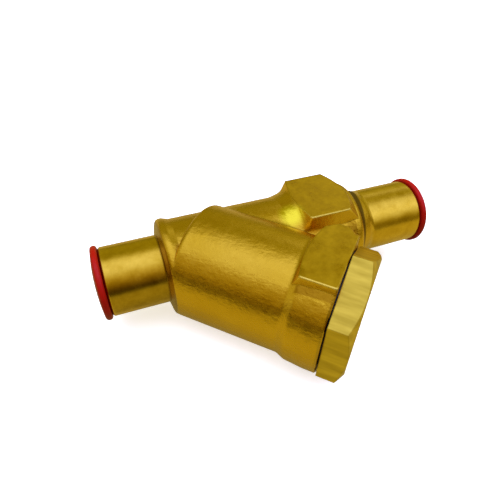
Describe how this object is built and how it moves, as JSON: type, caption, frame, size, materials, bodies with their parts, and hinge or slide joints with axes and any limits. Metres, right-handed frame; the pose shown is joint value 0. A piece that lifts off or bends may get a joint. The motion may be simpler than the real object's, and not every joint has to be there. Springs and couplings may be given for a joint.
{
  "type": "y strainer",
  "caption": "Inline Y-pattern strainer for a refrigeration line: forged brass body with solder sockets, inclined barrel, screwed hex cap, gasket, removable screen basket and end plugs.",
  "frame": {"origin": "on the flow axis, in the middle of the inlet socket's fitted wall, 20.4 mm before the point where the flow axis and the barrel axis cross", "axes": "+X along the flow from inlet to outlet, +Z square to the plane of the Y, the barrel runs towards +X and -Y at 45 degrees"},
  "size_m": [0.1333, 0.0777, 0.0484],
  "materials": {
    "forged_brass": "satin, as forged",
    "machined_brass": "brushed",
    "gasket_black": "matt",
    "stainless": "satin",
    "stainless_mesh": "woven",
    "basket_ring": "satin",
    "red_plastic": "gloss"
  },
  "bodies": {
    "strainer body": {"strainer_body": "forged_brass"},
    "screen basket": {"screen_support_tube": "stainless", "screen_mesh": "stainless_mesh", "screen_seat_ring": "basket_ring", "screen_end_disc": "basket_ring"},
    "gasket": {"cap_gasket": "gasket_black"},
    "cap": {"hex_cap": "machined_brass"},
    "inlet plug": {"inlet_plug": "red_plastic"},
    "outlet plug": {"outlet_plug": "red_plastic"}
  },
  "joints": [
    {"name": "screen_withdraw", "type": "slide", "parent": "strainer body", "child": "screen basket", "axis": [0.7071, -0.7071, 0], "range_m": [0, 0.09]},
    {"name": "cap_rise", "type": "slide", "parent": "screen basket", "child": "gasket", "axis": [0.7071, -0.7071, 0], "range_m": [0, 0.0096]},
    {"name": "cap_turn", "type": "hinge", "parent": "gasket", "child": "cap", "pos_m": [0.05929, -0.03889, 0], "axis": [0.7071, -0.7071, 0], "range_deg": [0, 2160]},
    {"name": "inlet_plug_pull", "type": "slide", "parent": "strainer body", "child": "inlet plug", "axis": [-1, 0, 0], "range_m": [0, 0.08]},
    {"name": "outlet_plug_pull", "type": "slide", "parent": "strainer body", "child": "outlet plug", "axis": [1, 0, 0], "range_m": [0, 0.08]}
  ],
  "couplings": [
    {"joint": "cap_rise", "follows": "cap_turn", "m_per_rad": 0.00025266}
  ]
}
